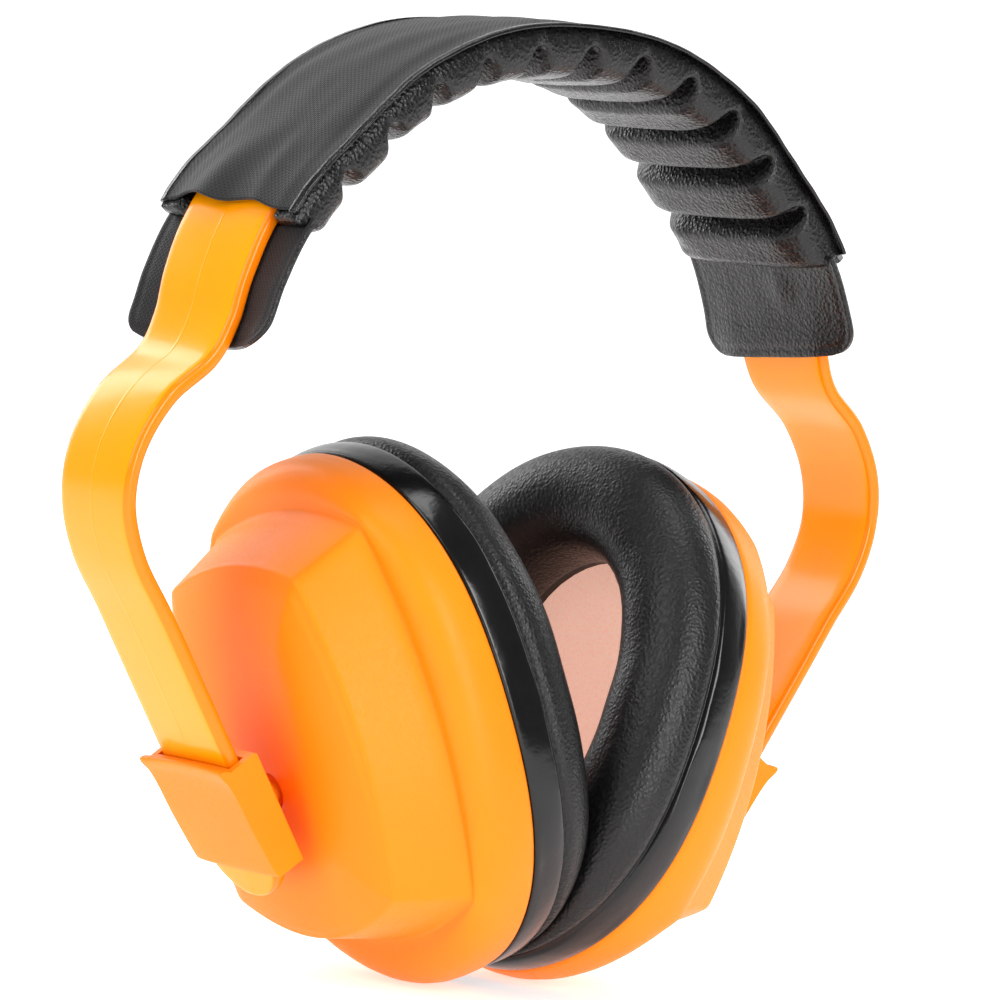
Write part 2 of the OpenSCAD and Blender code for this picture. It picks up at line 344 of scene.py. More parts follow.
def mat_band():
    m = Mat("band_plastic")
    co = m.obj()
    e = m.attr("edge")
    n1 = m.noise(co, 22, 3)
    face = m.mix(m.ramp(n1, [(0.3, (0, 0, 0)), (0.7, (1, 1, 1))]), lin(252, 152, 3), lin(252, 159, 5))
    # painted shade: where the edge attribute is 1, on the band's rounded edges, the colour is mixed to a deeper
    # orange
    col = m.mix(e, face, lin(248, 124, 2))
    m.link(col, m.bsdf.inputs["Base Color"])
    n2 = m.noise(co, 900, 2)
    m.link(m.ramp(m.noise(co, 60, 3), [(0.3, (0.20,) * 3), (0.75, (0.30,) * 3)]), m.bsdf.inputs["Roughness"])
    b = m.bump(m.noise(co, 45, 2), 0.0004, 0.35)
    b = m.bump(n2, 0.00002, 0.5, b)
    m.link(b, m.bsdf.inputs["Normal"])
    m.set(Coat_Weight=0.10, Coat_Roughness=0.10, IOR=1.46, Specular_IOR_Level=0.28, Subsurface_Weight=0.06, Subsurface_Scale=0.003)
    m.bsdf.inputs["Subsurface Radius"].default_value = (1.0, 0.45, 0.08)
    return m.m


def mat_cup(name="cup_plastic"):
    m = Mat(name)
    co = m.obj()
    n1 = m.noise(co, 16, 3)
    col = m.mix(m.ramp(n1, [(0.3, (0, 0, 0)), (0.7, (1, 1, 1))]), lin(251, 128, 9), lin(251, 137, 13))
    m.link(col, m.bsdf.inputs["Base Color"])
    g1 = m.noise(co, 1500, 2, 0.6)
    g2 = m.voro(co, 1700)
    m.link(m.ramp(m.noise(co, 1200, 2), [(0.3, (0.36,) * 3), (0.7, (0.50,) * 3)]), m.bsdf.inputs["Roughness"])
    b = m.bump(g1, 0.00006, 0.55)
    b = m.bump(g2, 0.00004, 0.35, b)
    m.link(b, m.bsdf.inputs["Normal"])
    m.set(IOR=1.44, Specular_IOR_Level=0.25, Subsurface_Weight=0.06, Subsurface_Scale=0.003)
    m.bsdf.inputs["Subsurface Radius"].default_value = (1.0, 0.4, 0.1)
    return m.m


def mat_leather(name, cell, rough, strength=1.0, mask=None, tint=(14, 14, 15)):
    """grained leathercloth; cell is the grain size in mm; mask names an attribute that is 1 where the surface is smooth"""
    m = Mat(name)
    co = m.obj()
    sc = 1000.0 / cell
    warp = m.n("ShaderNodeVectorMath", operation="MULTIPLY_ADD")
    nz = m.n("ShaderNodeTexNoise"); nz.inputs["Scale"].default_value = sc * 0.35
    m.link(co, nz.inputs["Vector"])
    m.link(nz.outputs["Color"], warp.inputs[0])
    warp.inputs[1].default_value = (cell * 0.0011,) * 3
    m.link(co, warp.inputs[2])
    wv = warp.outputs[0]
    v = m.voro(wv, sc, "SMOOTH_F1", 0.35)
    fine = m.noise(co, sc * 2.6, 3, 0.6)
    wide = m.noise(co, sc * 0.12, 3)
    h = m.math("ADD", m.math("MULTIPLY", m.math("SUBTRACT", 0.6, v), 1.0), m.math("MULTIPLY", fine, 0.35))
    if mask:
        keep = m.math("SUBTRACT", 1.0, m.math("MULTIPLY", m.attr(mask), 0.93))
        h = m.math("MULTIPLY", h, keep)
    col = m.mix(m.ramp(v, [(0.25, (1, 1, 1)), (0.75, (0, 0, 0))]), lin(*[int(t * 0.55) for t in tint]), lin(*tint))
    col = m.mix(m.ramp(wide, [(0.35, (0, 0, 0)), (0.8, (1, 1, 1))]), col, lin(*[t + 3 for t in tint]))
    m.link(col, m.bsdf.inputs["Base Color"])
    rg = m.ramp(v, [(0.1, (rough - 0.05,) * 3), (0.8, (rough + 0.16,) * 3)])
    if mask:
        rg = m.mix(m.attr(mask), rg, (0.2, 0.2, 0.2, 1))
    m.link(rg, m.bsdf.inputs["Roughness"])
    b = m.bump(h, cell * 0.00022, strength)
    b = m.bump(wide, 0.0006, 0.25, b)
    m.link(b, m.bsdf.inputs["Normal"])
    m.set(IOR=1.5, Specular_IOR_Level=0.40)
    return m.m


def mat_weave(name="cover_weave", pitch=0.55, tint=(25, 25, 27)):
    """twill: attribute pat holds millimetres along and across the cloth"""
    m = Mat(name)
    p = m.attr("pat", True)
    sep = m.n("ShaderNodeSeparateXYZ"); m.link(p, sep.inputs[0])
    u, v = sep.outputs[0], sep.outputs[1]
    k = 2 * math.pi / pitch
    su = m.math("SINE", m.math("MULTIPLY", u, k))
    sv = m.math("SINE", m.math("MULTIPLY", v, k))
    dg = m.math("SINE", m.math("MULTIPLY", m.math("ADD", u, v), k * 0.5))
    warp = m.math("ABSOLUTE", m.math("SINE", m.math("MULTIPLY", v, k * 0.5)))
    weft = m.math("ABSOLUTE", m.math("SINE", m.math("MULTIPLY", u, k * 0.5)))
    sel = m.math("GREATER_THAN", dg, 0.0)
    h = m.math("ADD", m.math("MULTIPLY", sel, warp), m.math("MULTIPLY", m.math("SUBTRACT", 1.0, sel), m.math("MULTIPLY", weft, 0.8)))
    fuzz = m.noise(m.obj(), 2600, 2)
    big = m.noise(m.obj(), 40, 3)
    shade = m.math("ADD", m.math("MULTIPLY", h, 0.75), m.math("MULTIPLY", fuzz, 0.35))
    dark = lin(*[int(t * 0.42) for t in tint])
    col = m.mix(m.ramp(shade, [(0.1, (0, 0, 0)), (0.95, (1, 1, 1))]), dark, lin(*tint))
    col = m.mix(m.ramp(big, [(0.35, (0, 0, 0)), (0.75, (0.35, 0.35, 0.35))]), col, lin(*[t + 12 for t in tint]))
    m.link(col, m.bsdf.inputs["Base Color"])
    m.link(m.ramp(shade, [(0.0, (0.85,) * 3), (1.0, (0.52,) * 3)]), m.bsdf.inputs["Roughness"])
    b = m.bump(h, 0.00009, 0.8)
    b = m.bump(big, 0.0008, 0.3, b)
    m.link(b, m.bsdf.inputs["Normal"])
    m.set(Sheen_Weight=0.07, Sheen_Roughness=0.4, IOR=1.45, Specular_IOR_Level=0.4)
    return m.m


def mat_foam():
    m = Mat("ear_foam")
    co = m.obj()
    g = m.noise(co, 1600, 3, 0.7)
    g2 = m.voro(co, 1400)
    big = m.noise(co, 30, 3)
    col = m.mix(m.ramp(g, [(0.35, (0, 0, 0)), (0.62, (1, 1, 1))]), lin(248, 190, 166), lin(254, 222, 204))
    col = m.mix(m.ramp(g2, [(0.0, (0.4, 0.4, 0.4)), (0.25, (0, 0, 0))]), col, lin(214, 140, 116))
    m.link(col, m.bsdf.inputs["Base Color"])
    m.link(m.ramp(big, [(0.3, (0.72,) * 3), (0.7, (0.9,) * 3)]), m.bsdf.inputs["Roughness"])
    b = m.bump(g, 0.00012, 0.7)
    b = m.bump(g2, 0.0001, 0.5, b)
    m.link(b, m.bsdf.inputs["Normal"])
    # painted light: emission makes the peach foam glow, brightening it where it lies in the cushion's shade
    m.set(Sheen_Weight=0.3, Sheen_Roughness=0.5, Emission_Strength=0.62)
    m.bsdf.inputs["Emission Color"].default_value = lin(250, 196, 176)
    return m.m


def mat_inner():
    m = Mat("inner_plastic")
    co = m.obj()
    g = m.noise(co, 1300, 2)
    m.link(m.mix(m.ramp(m.noise(co, 40, 3), [(0.3, (0, 0, 0)), (0.7, (1, 1, 1))]), lin(22, 22, 24), lin(32, 32, 34)), m.bsdf.inputs["Base Color"])
    m.link(m.ramp(g, [(0.3, (0.42,) * 3), (0.7, (0.55,) * 3)]), m.bsdf.inputs["Roughness"])
    m.link(m.bump(g, 0.00005, 0.6), m.bsdf.inputs["Normal"])
    return m.m


M_BAND, M_CUP, M_HOLD = mat_band(), mat_cup(), mat_cup("holder_plastic")
M_PAD = mat_leather("pad_leather", 0.8, 0.24, 1.0, tint=(7, 7, 8))
M_SEAM = mat_leather("seam_weld", 0.7, 0.16, 0.35, tint=(16, 16, 17))
M_CUSH = mat_leather("cushion_leather", 0.75, 0.34, 0.75, mask="smooth_band", tint=(6, 6, 8))
M_WEAVE, M_FOAM, M_INNER = mat_weave(), mat_foam(), mat_inner()

# ------------------------------------------------------------------ band: one continuous moulding


def half_width(z):
    return np.interp(z - LIFT, [-165, -112, -84, -64, -36, -20, 20], [10.8, 10.8, 10.4, 11.2, 12.8, 13.2, 13.2])


def make_band():
    step = np.concatenate([np.linspace(-LEN, -LEN + 9, 22, endpoint=False), np.linspace(-LEN + 9, LEN - 9, 460, endpoint=False),
                           np.linspace(LEN - 9, LEN, 23)])
    # section: (across fraction of the flat part, corner offsets)
    r = 1.15
    ang = np.radians([0, 22, 45, 68, 90])
    p, nn, _ = curve(step)
    verts, edge = [], []
    for a, c, n in zip(step, p, nn):
        h = float(half_width(c[1]))
        d = LEN - abs(a)
        rc = 10.8
        if d < rc:
            h = max(h - (rc - math.sqrt(max(rc * rc - (rc - d) ** 2, 0))), 0.45)
        t = 1.5
        if d < 1.0:
            t = 1.5 - 0.9 * (1 - math.sqrt(max(1 - (1 - d) ** 2, 0)))
        rr = min(r, t * 0.9, h * 0.8)
        sec = []
        # outer face from -y to +y, with the parting line along the middle
        g7, g3 = min(0.5, 0.5 * (h - rr)), min(0.16, 0.25 * (h - rr))
        ys = np.concatenate([np.linspace(-(h - rr), -g7, 9), [-g3, 0.0, g3], np.linspace(g7, h - rr, 9)])
        for y in ys:
            crown = 0.30 * (1 - (y / h) ** 2)
            line = 0.045 if abs(y) < 0.1 else 0
            sec.append((y, t + crown + line, 0.0))
        for g in ang[1:]:
            sec.append((h - rr + rr * math.sin(g), t - rr + rr * math.cos(g), 1.0))
        for g in ang[:-1]:
            sec.append((h - rr + rr * math.cos(g), -t + rr - rr * math.sin(g), 1.0))
        for y in np.linspace(h - rr, -(h - rr), 9):
            sec.append((y, -t, 0.0))
        for g in ang[1:]:
            sec.append((-(h - rr) - rr * math.sin(g), -t + rr - rr * math.cos(g), 1.0))
        for g in ang[:-1]:
            sec.append((-(h - rr) - rr * math.cos(g), t - rr + rr * math.sin(g), 1.0))
        for y, k, e in sec:
            verts.append((c[0] + n[0] * k, y, c[1] + n[1] * k)); edge.append(e)
    nu, nv = len(step), len(verts) // len(step)
    faces = grid_faces(nu, nv, False, True)
    faces.append(tuple(range(nv))[::-1]); faces.append(tuple((nu - 1) * nv + j for j in range(nv)))
    ob = make("band_strip", verts, faces)
    outward(ob)
    # edge is 1 on the rounded corners of the section: the mask for the painted shade on the band's edges
    attr_f(ob, "edge", edge)
    ob.data.materials.append(M_BAND)
    return ob


band = make_band()
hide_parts("band_left", "band_right")
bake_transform(band)

# ------------------------------------------------------------------ crown pad

RIB = 14.1


def make_pad():
    a = np.linspace(-A_PAD, A_PAD, 560)
    x = np.abs(a) / RIB
    dist = np.abs(x - np.round(x)) * RIB          # distance to the nearest groove
    end = A_PAD - np.abs(a)
    verts, nv = [], None
    p, nn, _ = curve(a)
    r = np.random.RandomState(3)
    lean = r.uniform(-1.3, 1.3, 40)
    for i, (ai, d0, e) in enumerate(zip(a, dist, end)):
        k = int(math.floor(abs(ai) / RIB)) + (20 if ai < 0 else 0)
        g0 = math.exp(-(d0 / 1.9) ** 2) if e > 6 else 0.0
        taper = 1 - math.sqrt(max(1 - min(e / 8.0, 1.0) ** 1 * 1.0, 0)) if e < 8 else 1.0
        taper = math.sin(min(e / 5.0, 1.0) * math.pi / 2) ** 0.6
        depth0 = 4.5 + 5.2 * taper
        sec = []
        puff = 0.55 * (1 - g0)
        for t in np.linspace(0, 1, 64, endpoint=False):
            # superellipse-like closed section, flat on top
            th = 2 * math.pi * t
            cy, cn = math.cos(th), math.sin(th)
            ey = math.copysign(abs(cy) ** 0.30, cy)
            en = math.copysign(abs(cn) ** 0.42, cn)
            if en > 0:      # band side: a trough for the strip between the upright sides
                y = 19.9 * ey; n = 1.9 if abs(y) > 14.2 else -1.75
            else:
                f = -en
                fs = min(max((f - 0.38) / 0.40, 0), 1); fs = fs * fs * (3 - 2 * fs)
                bite = g0 * fs * 4.6
                y = (19.9 + 0.7 * math.sin(min(f, 1) * math.pi) - 1.7 * g0 * fs) * ey
                sag = 0.9 * (1 - (abs(y) / 20.5) ** 2)
                n = 2.0 - depth0 * f - (puff + sag) * fs * taper + bite
            sec.append((y, n))
        nv = len(sec)
        for y, n in sec:
            verts.append((p[i][0] + nn[i][0] * n, y, p[i][1] + nn[i][1] * n))
    nu = len(a)
    V = np.array(verts)
    # slight unevenness of the moulded skin on the head side
    w = wob(np.repeat(a, nv), V[:, 1], 11, 8, 0.06, 0.22) * 0.12
    V += np.repeat(np.stack([nn[:, 0], np.zeros(nu), nn[:, 1]], -1), nv, 0) * w[:, None] * ((np.abs(V[:, 1]) < 19) & (np.tile(np.arange(nv), nu) > nv // 2))[:, None]
    faces = grid_faces(nu, nv, False, True)
    faces.append(tuple(range(nv))[::-1]); faces.append(tuple((nu - 1) * nv + j for j in range(nv)))
    ob = make("crown_pad", V, faces)
    outward(ob)
    ob.data.materials.append(M_PAD)
    return ob


pad = make_pad()
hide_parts("crown_pad_left", "crown_pad_right")
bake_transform(pad)

# ------------------------------------------------------------------ cover sleeve


def make_cover():
    a = np.linspace(-A_MOUTH, A_MOUTH, 341)
    y = np.linspace(-1, 1, 73)
    AA, YY = np.meshgrid(a, y, indexing="ij")
    dm = A_MOUTH - np.abs(AA)                      # distance from the mouth
    near = np.exp(-(dm / 26.0) ** 1.3)
    half = 20.3 + 0.2 * near
    yy = YY * half
    ay = np.abs(yy)
    n = 2.25 + 0.75 * (1 - (ay / 20.5) ** 2.5)
    # the cloth is drawn down a little between the strip's edge and the pad's upright side
    n -= 0.35 * np.exp(-((ay - 16.2) / 2.2) ** 2)
    # folds: run along the band, strongest at the mouths
    fold = 0.5 * np.exp(-((yy + 9.0 - 0.16 * dm) / 2.4) ** 2) + 0.45 * np.exp(-((yy + 16.0 - 0.05 * dm) / 1.6) ** 2)
    n += near * fold * 0.8
    # the sleeve stands off the strip on the back half of its mouth
    n += 1.9 * np.exp(-(dm / 19.0) ** 1.4) * np.exp(-((yy - 6.5 + 0.12 * dm) / 6.0) ** 2)
    n += near * 0.3 * (1 - (ay / 20.4) ** 4)
    n += 0.13 * wob(AA, yy * 2.0, 5, 9, 0.03, 0.12)
    n = np.where(ay > 19.4, np.maximum(n, 2.15), n)
    shift = 0.9 * near * np.sin(yy * 0.35 + 0.8) * np.sign(AA)
    P, N, _ = curve(AA + shift * 0.6)
    outer = np.stack([P[..., 0] + N[..., 0] * n, yy, P[..., 1] + N[..., 1] * n], -1)
    ni = n - 0.55
    inner = np.stack([P[..., 0] + N[..., 0] * ni, yy * 0.992, P[..., 1] + N[..., 1] * ni], -1)
    nu, nv = AA.shape
    V = np.concatenate([outer.reshape(-1, 3), inner.reshape(-1, 3)])
    f = grid_faces(nu, nv, False, False)
    f2 = [tuple(reversed([k + nu * nv for k in q])) for q in f]
    rim = []
    per = [(i, 0) for i in range(nu)] + [(nu - 1, j) for j in range(1, nv)] + [(i, nv - 1) for i in range(nu - 2, -1, -1)] + [(0, j) for j in range(nv - 2, 0, -1)]
    for k in range(len(per)):
        i, j = per[k]; i2, j2 = per[(k + 1) % len(per)]
        q, q2 = i * nv + j, i2 * nv + j2
        rim.append((q, q2, q2 + nu * nv, q + nu * nv))
    ob = make("cover_cloth", V, f + f2 + rim)
    outward(ob)
    pat = np.stack([AA, yy, 0 * AA], -1).reshape(-1, 3)
    attr_v(ob, "pat", np.concatenate([pat, pat]))
    ob.data.materials.append(M_WEAVE)
    return ob


cover = make_cover()
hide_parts("band_cover_left", "band_cover_right")
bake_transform(cover)

# welded edge where cover and pad meet: a thin flat lip all along both edges


def make_lip(sign, name):
    a = np.linspace(-A_PAD + 1.0, A_PAD - 1.0, 320)
    sec = [(0.0, 0.45), (0.9, 0.40), (1.25, 0.1), (1.2, -0.3), (0.7, -0.42), (-0.4, -0.45), (-0.4, 0.45)]
    verts = []
    p, nn, _ = curve(a)
    for i in range(len(a)):
        wv = 0.10 * math.sin(a[i] * 0.31) + 0.07 * math.sin(a[i] * 0.83 + 1)
        for y, n in sec:
            verts.append((p[i][0] + nn[i][0] * (n + 2.05), sign * (19.6 + y + wv), p[i][1] + nn[i][1] * (n + 2.05)))
    nv = len(sec)
    faces = grid_faces(len(a), nv, False, True)
    faces.append(tuple(range(nv))[::-1]); faces.append(tuple((len(a) - 1) * nv + j for j in range(nv)))
    ob = make(name, verts, faces)
    outward(ob)
    ob.data.materials.append(M_SEAM)
    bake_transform(ob)
    return ob


lip_f, lip_b = make_lip(-1, "pad_edge_front"), make_lip(1, "pad_edge_back")

# ------------------------------------------------------------------ flaps


def make_flap(side):
    sg = SG[side]
    W, r = 21.75, 5.5
    L = 27.0 if side == "left" else 22.9
    nu, nv = 60, 76
    u = np.linspace(0, 1, nu)
    v = np.linspace(-1, 1, nv)
    UU, VV = np.meshgrid(u, v, indexing="ij")
    d = (1 - UU) * L
    wmax = np.where(d < r, W - (r - np.sqrt(np.maximum(r * r - (r - d) ** 2, 0))), W)
    yy = VV * wmax
    ay = np.abs(yy)
    tt = UU
    skew = 0.0 if side == "left" else 1.5 * yy / W * tt
    aa = A_PAD - 2.5 + UU * (L + 0.5) + skew
    # set of the cloth: pressed by the strip in the middle, edges curling out past it
    q = 2.0 * smoothstep(11.0, 22.0, ay) * tt ** 1.3 - 0.25 * (0.5 + 0.5 * np.sin(yy * 0.28 + tt * 3)) * tt
    if side == "left":
        q += 0.8 * smoothstep(9.0, 20.0, -yy) * tt
    else:
        q -= 0.6 * np.exp(-(((yy + 4) / 3.2) ** 2 + ((tt - 0.34) / 0.17) ** 2))
        q -= 0.35 * np.exp(-((yy - 4 - 6 * (tt - 0.5)) / 5.0) ** 2) * tt
    th = 0.5
    # welded border: pressed thinner just inside the edge
    inset = np.minimum(np.minimum(wmax - ay, d + 0.0), 6)
    thk = th - 0.24 * np.exp(-((inset - 1.5) / 0.5) ** 2)
    base = -2.35
    o = on_curve(aa, yy, base + q + thk)
    i_ = on_curve(aa, yy, base + q - thk)
    V = np.concatenate([o.reshape(-1, 3), i_.reshape(-1, 3)])
    V[:, 0] *= sg
    f = grid_faces(nu, nv, False, False)
    f2 = [tuple(reversed([k + nu * nv for k in g])) for g in f]
    per = [(i, 0) for i in range(nu)] + [(nu - 1, j) for j in range(1, nv)] + [(i, nv - 1) for i in range(nu - 2, -1, -1)] + [(0, j) for j in range(nv - 2, 0, -1)]
    rim = []
    for k in range(len(per)):
        i, j = per[k]; i2, j2 = per[(k + 1) % len(per)]
        a, b = i * nv + j, i2 * nv + j2
        rim.append((a, b, b + nu * nv, a + nu * nv))
    ob = make("pad_tail_" + side, V, f + f2 + rim)
    nf = len(f)
    outward(ob)
    pat = np.stack([UU * L, yy, 0 * yy], -1).reshape(-1, 3)
    attr_v(ob, "pat", np.concatenate([pat, pat]))
    ob.data.materials.append(M_WEAVE); ob.data.materials.append(M_PAD)
    idx = [0 if k < nf else 1 for k in range(len(ob.data.polygons))]
    ob.data.polygons.foreach_set("material_index", idx)
    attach(ob, "band_half_" + side)
    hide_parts("pad_flap_" + side)
    return ob


flaps = {s: make_flap(s) for s in SIDES}

# ------------------------------------------------------------------ cup holder


def make_holder(side):
    h = 12.5
    # outer face is gently bowed, with a lip rolled out along its top edge
    outer = spline([[2.4, h - 0.1], [3.1, h + 0.55], [4.0, h + 0.95], [4.75, h + 0.75], [4.65, h - 0.5], [4.15, h - 2.4],
                    [3.9, h - 5.5], [3.75, 1.5], [3.45, -5], [3.1, -h + 2.0], [2.8, -h + 0.5], [2.3, -h]], 3)
    prof = [tuple(q) for q in outer] + [(-4.25, -h), (-4.25, -4.0), (-4.25, 4.0), (-4.25, h - 0.5), (-3.9, h)]
    prof = prof[::-1]
    n = len(prof)
    ys = np.linspace(-12.7, 12.7, 25)
    verts, faces = [], []
    for y in ys:
        e = abs(y) / 12.7
        for (px, pz) in prof:
            up = max(0.0, min(1.0, (pz - 4.0) / 8.5))
            px2 = px + (0.45 * e ** 3 * up ** 2 if px > 2 else 0.0)
            # outer face eased back a touch at its lower corners
            if px > 2:
                px2 -= 0.35 * e ** 4 * max(0.0, min(1.0, (-pz) / 12.0))
            pz2 = pz + (0.35 * (1 - e * e) if pz > h - 3.2 and px > 0 else 0.0)
            verts.append((px2, y, pz2))
    ny = len(ys)
    faces.append(tuple(range(n))); faces.append(tuple(range(ny * n - 1, (ny - 1) * n - 1, -1)))
    for i in range(ny - 1):
        for j in range(n):
            j2 = (j + 1) % n
            faces.append((i * n + j, (i + 1) * n + j, (i + 1) * n + j2, i * n + j2))
    ob = make("tmp_holder", verts, faces, smooth=False)
    outward(ob)
    wd = 10.8 + 0.35
    cv = [(x, y, z) for x in (-1.95, 1.95) for y in (-wd, wd) for z in (-30, 30)]
    cf = [(0, 1, 3, 2), (4, 6, 7, 5), (0, 4, 5, 1), (2, 3, 7, 6), (0, 2, 6, 4), (1, 5, 7, 3)]
    cut = make("tmp_cut", cv, cf, smooth=False)
    outward(cut)
    modify(ob, "BOOLEAN", operation="DIFFERENCE", object=cut, solver="EXACT")
    modify(ob, "BEVEL", width=0.00055, segments=3, limit_method="ANGLE", angle_limit=math.radians(28), harden_normals=False)
    apply_all(ob)
    bpy.data.objects.remove(cut)
    co = np.array([v.co for v in ob.data.vertices]) / MM
    # sides drawn in slightly toward the lower end, as moulded
    co[:, 1] *= 1 - 0.012 * (h - co[:, 2]) / (2 * h)
    co = leg_pts(side, co)
    for v, c in zip(ob.data.vertices, co):
        v.co = Vector(c * MM)
    ob.name = "cup_slide_" + side
    ob.data.polygons.foreach_set("use_smooth", [True] * len(ob.data.polygons))
    outward(ob)
    m = modify(ob, "WEIGHTED_NORMAL", keep_sharp=False, weight=80)
    ob.data.materials.clear(); ob.data.materials.append(M_HOLD)
    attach(ob, "holder_" + side)
    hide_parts("cup_holder_" + side)
    return ob


holders = {s: make_holder(s) for s in SIDES}

# ------------------------------------------------------------------ cups


def crest(a1, u1, h1, a2, u2, h2, b):
    out = []
    for t in np.arange(-1, 0.999, 0.1): out.append((a1 * t, u1 + h1 * (1 - t * t)))
    for t in np.arange(0, 0.999, 0.05): out.append((a1 + (a2 - a1) * t + b * 4 * t * (1 - t), u1 + (u2 - u1) * t))
    for t in np.arange(1, -0.999, -0.1): out.append((a2 * t, u2 - h2 * (1 - t * t)))
    for t in np.arange(1, 0.001, -0.05): out.append((-(a1 + (a2 - a1) * t + b * 4 * t * (1 - t)), u1 + (u2 - u1) * t))
    return np.array(out)


NPSI = 360
PSI = np.arange(NPSI) * 2 * math.pi / NPSI


def polar(poly, sig=1.0):
    """distance from the middle to the outline, with its corners eased"""
    q = np.vstack([poly, poly[:1]])
    out = np.zeros(NPSI)
    for k, a in enumerate(PSI):
        d = np.array([math.sin(a), math.cos(a)]); best = 0
        p0, p1 = q[:-1], q[1:]
        e = p1 - p0
        den = d[0] * e[:, 1] - d[1] * e[:, 0]
        with np.errstate(divide="ignore", invalid="ignore"):
            t = (p0[:, 0] * e[:, 1] - p0[:, 1] * e[:, 0]) / den
            s = (p0[:, 0] * d[1] - p0[:, 1] * d[0]) / den
        ok = (t > 0) & (s >= -1e-6) & (s <= 1 + 1e-6)
        out[k] = t[ok].max()
    if sig:
        w = np.exp(-0.5 * (np.arange(-6, 7) / sig) ** 2); w /= w.sum()
        out = sum(wk * np.roll(out, s) for wk, s in zip(w, range(-6, 7)))
    return out


RIM = 48.1 + 6.0 * np.cos(2 * PSI) - 0.25 * np.cos(4 * PSI)
RB = polar(crest(25, 40, 4.8, 31.5, -33.5, 8.5, 6))
RF = polar(crest(21.5, 34.5, 4.3, 26.5, -29, 8, 5))


def egg(u, v):
    p = np.stack([v * np.sin(PSI) * (1 + 0.06 * np.sin(2 * PSI) ** 2), u * np.cos(PSI) * (1 + 0.03 * np.sin(2 * PSI) ** 2)], -1)
    return p


EGG = polar(egg(31, 20), 0)


def make_cup(side):
    cs = np.cos(PSI)
    wB = 12.7 - 0.0384 * RB * cs
    wF = 27.6 - 0.0209 * RF * cs
    one = np.ones(NPSI)
    L = []                      # list of (radius, out) rings, closed loop
    L += [(RIM - 3.0, 0.35 * one), (RIM - 1.4, 0.12 * one), (RIM - 0.5, 0.25 * one), (RIM - 0.1, 0.8 * one), (RIM + 0.05, 1.8 * one),
          (RIM + 0.1, 3.4 * one)]
    # flange rolls over into the crease at the foot of the body
    P0 = np.stack([RIM + 0.1, 5.0 * one]); P1 = np.stack([RIM, 5 + 0.80 * (wB - 5)])
    P2 = np.stack([RB + 0.50 * (RIM - RB), wB + 0.5]); P3 = np.stack([RB + 0.9, wB - 0.15])
    for t in np.linspace(0, 1, 11):
        b = (1 - t) ** 3 * P0 + 3 * (1 - t) ** 2 * t * P1 + 3 * (1 - t) * t * t * P2 + t ** 3 * P3
        L.append((b[0], b[1]))
    dr, dw = RF - RB, wF - wB
    L += [(RB + 0.35, wB + 0.05), (RB + 0.0, wB + 0.5), (RB + dr * 0.08, wB + dw * 0.08)]
    for t in np.linspace(0.2, 0.86, 6):
        L.append((RB + dr * t, wB + dw * t + 0.0))
    ln = np.sqrt(dr ** 2 + dw ** 2)
    L += [(RF - dr / ln * 1.1, wF - dw / ln * 1.1), (RF - dr / ln * 0.45 - 0.05, wF - dw / ln * 0.42), (RF - 0.35, wF - 0.08), (RF - 0.95, wF + 0.06)]
    sn = np.sin(PSI)
    F2 = np.stack([RF * sn, RF * cs], -1)
    hole = lambda r_: np.stack([r_ * sn, BALL_L[2] + r_ * cs], -1)
    H2 = hole(4.8)
    D = np.linalg.norm(F2 - H2, axis=1)

    def face_ring(t):
        P = F2 + (H2 - F2) * t
        dd = np.minimum(D * t, 17.0) / 17.0
        return P, 27.6 - 0.0209 * P[:, 1] + 3.6 * (1 - (1 - dd) ** 1.9)
    for t in np.concatenate([np.linspace(0.05, 0.5, 12), np.linspace(0.56, 1.0, 9)]):
        L.append(face_ring(t))
    tw = L[-1][1]
    L += [(hole(4.2), tw - 0.1), (hole(3.95), tw - 0.5), (hole(3.9), tw - 1.5), (hole(4.0), 28.4 * one), (hole(4.6), 28.1 * one)]
    L += [(F2 + (H2 - F2) * 0.6, 28.0 * one), (RF - 3.0, wF - 2.6), (RF - 3.6 + (RB - RF) * 0.3, wF - 7), (RB - 3.0, wB - 0.5), (RB - 1.5, wB - 3.2), (RIM - 4.6, 8 * one), (RIM - 3.3, 4 * one)]
    nl = len(L)
    Q = np.zeros((NPSI, nl, 3))
    for j, (r_, w_) in enumerate(L):
        r_ = np.asarray(r_)
        Q[:, j, 0] = w_
        Q[:, j, 1] = r_[:, 0] if r_.ndim == 2 else r_ * np.sin(PSI)
        Q[:, j, 2] = r_[:, 1] if r_.ndim == 2 else r_ * np.cos(PSI)
    V = cup_pts(side, Q.reshape(-1, 3))
    ob = make("cup_body_" + side, V, grid_faces(NPSI, nl, True, True))
    outward(ob)
    ob.data.materials.append(M_CUP)
    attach(ob, "cup_" + side)
    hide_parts("cup_shell_" + side)
    return ob


cups = {s: make_cup(s) for s in SIDES}


def press(V, side, lim=0.22, soft=1.3):
    """flattens the cushion softly where the two cups meet at the middle plane"""
    s = SG[side]
    x = V[:, 0] * s
    t = (x - lim) / soft
    x2 = lim + soft * np.where(t > 20, t, np.log1p(np.exp(np.minimum(t, 20))))
    over = np.maximum(x2 - x, 0)
    V[:, 0] = np.where(t > 6, x, x2) * s
    return over


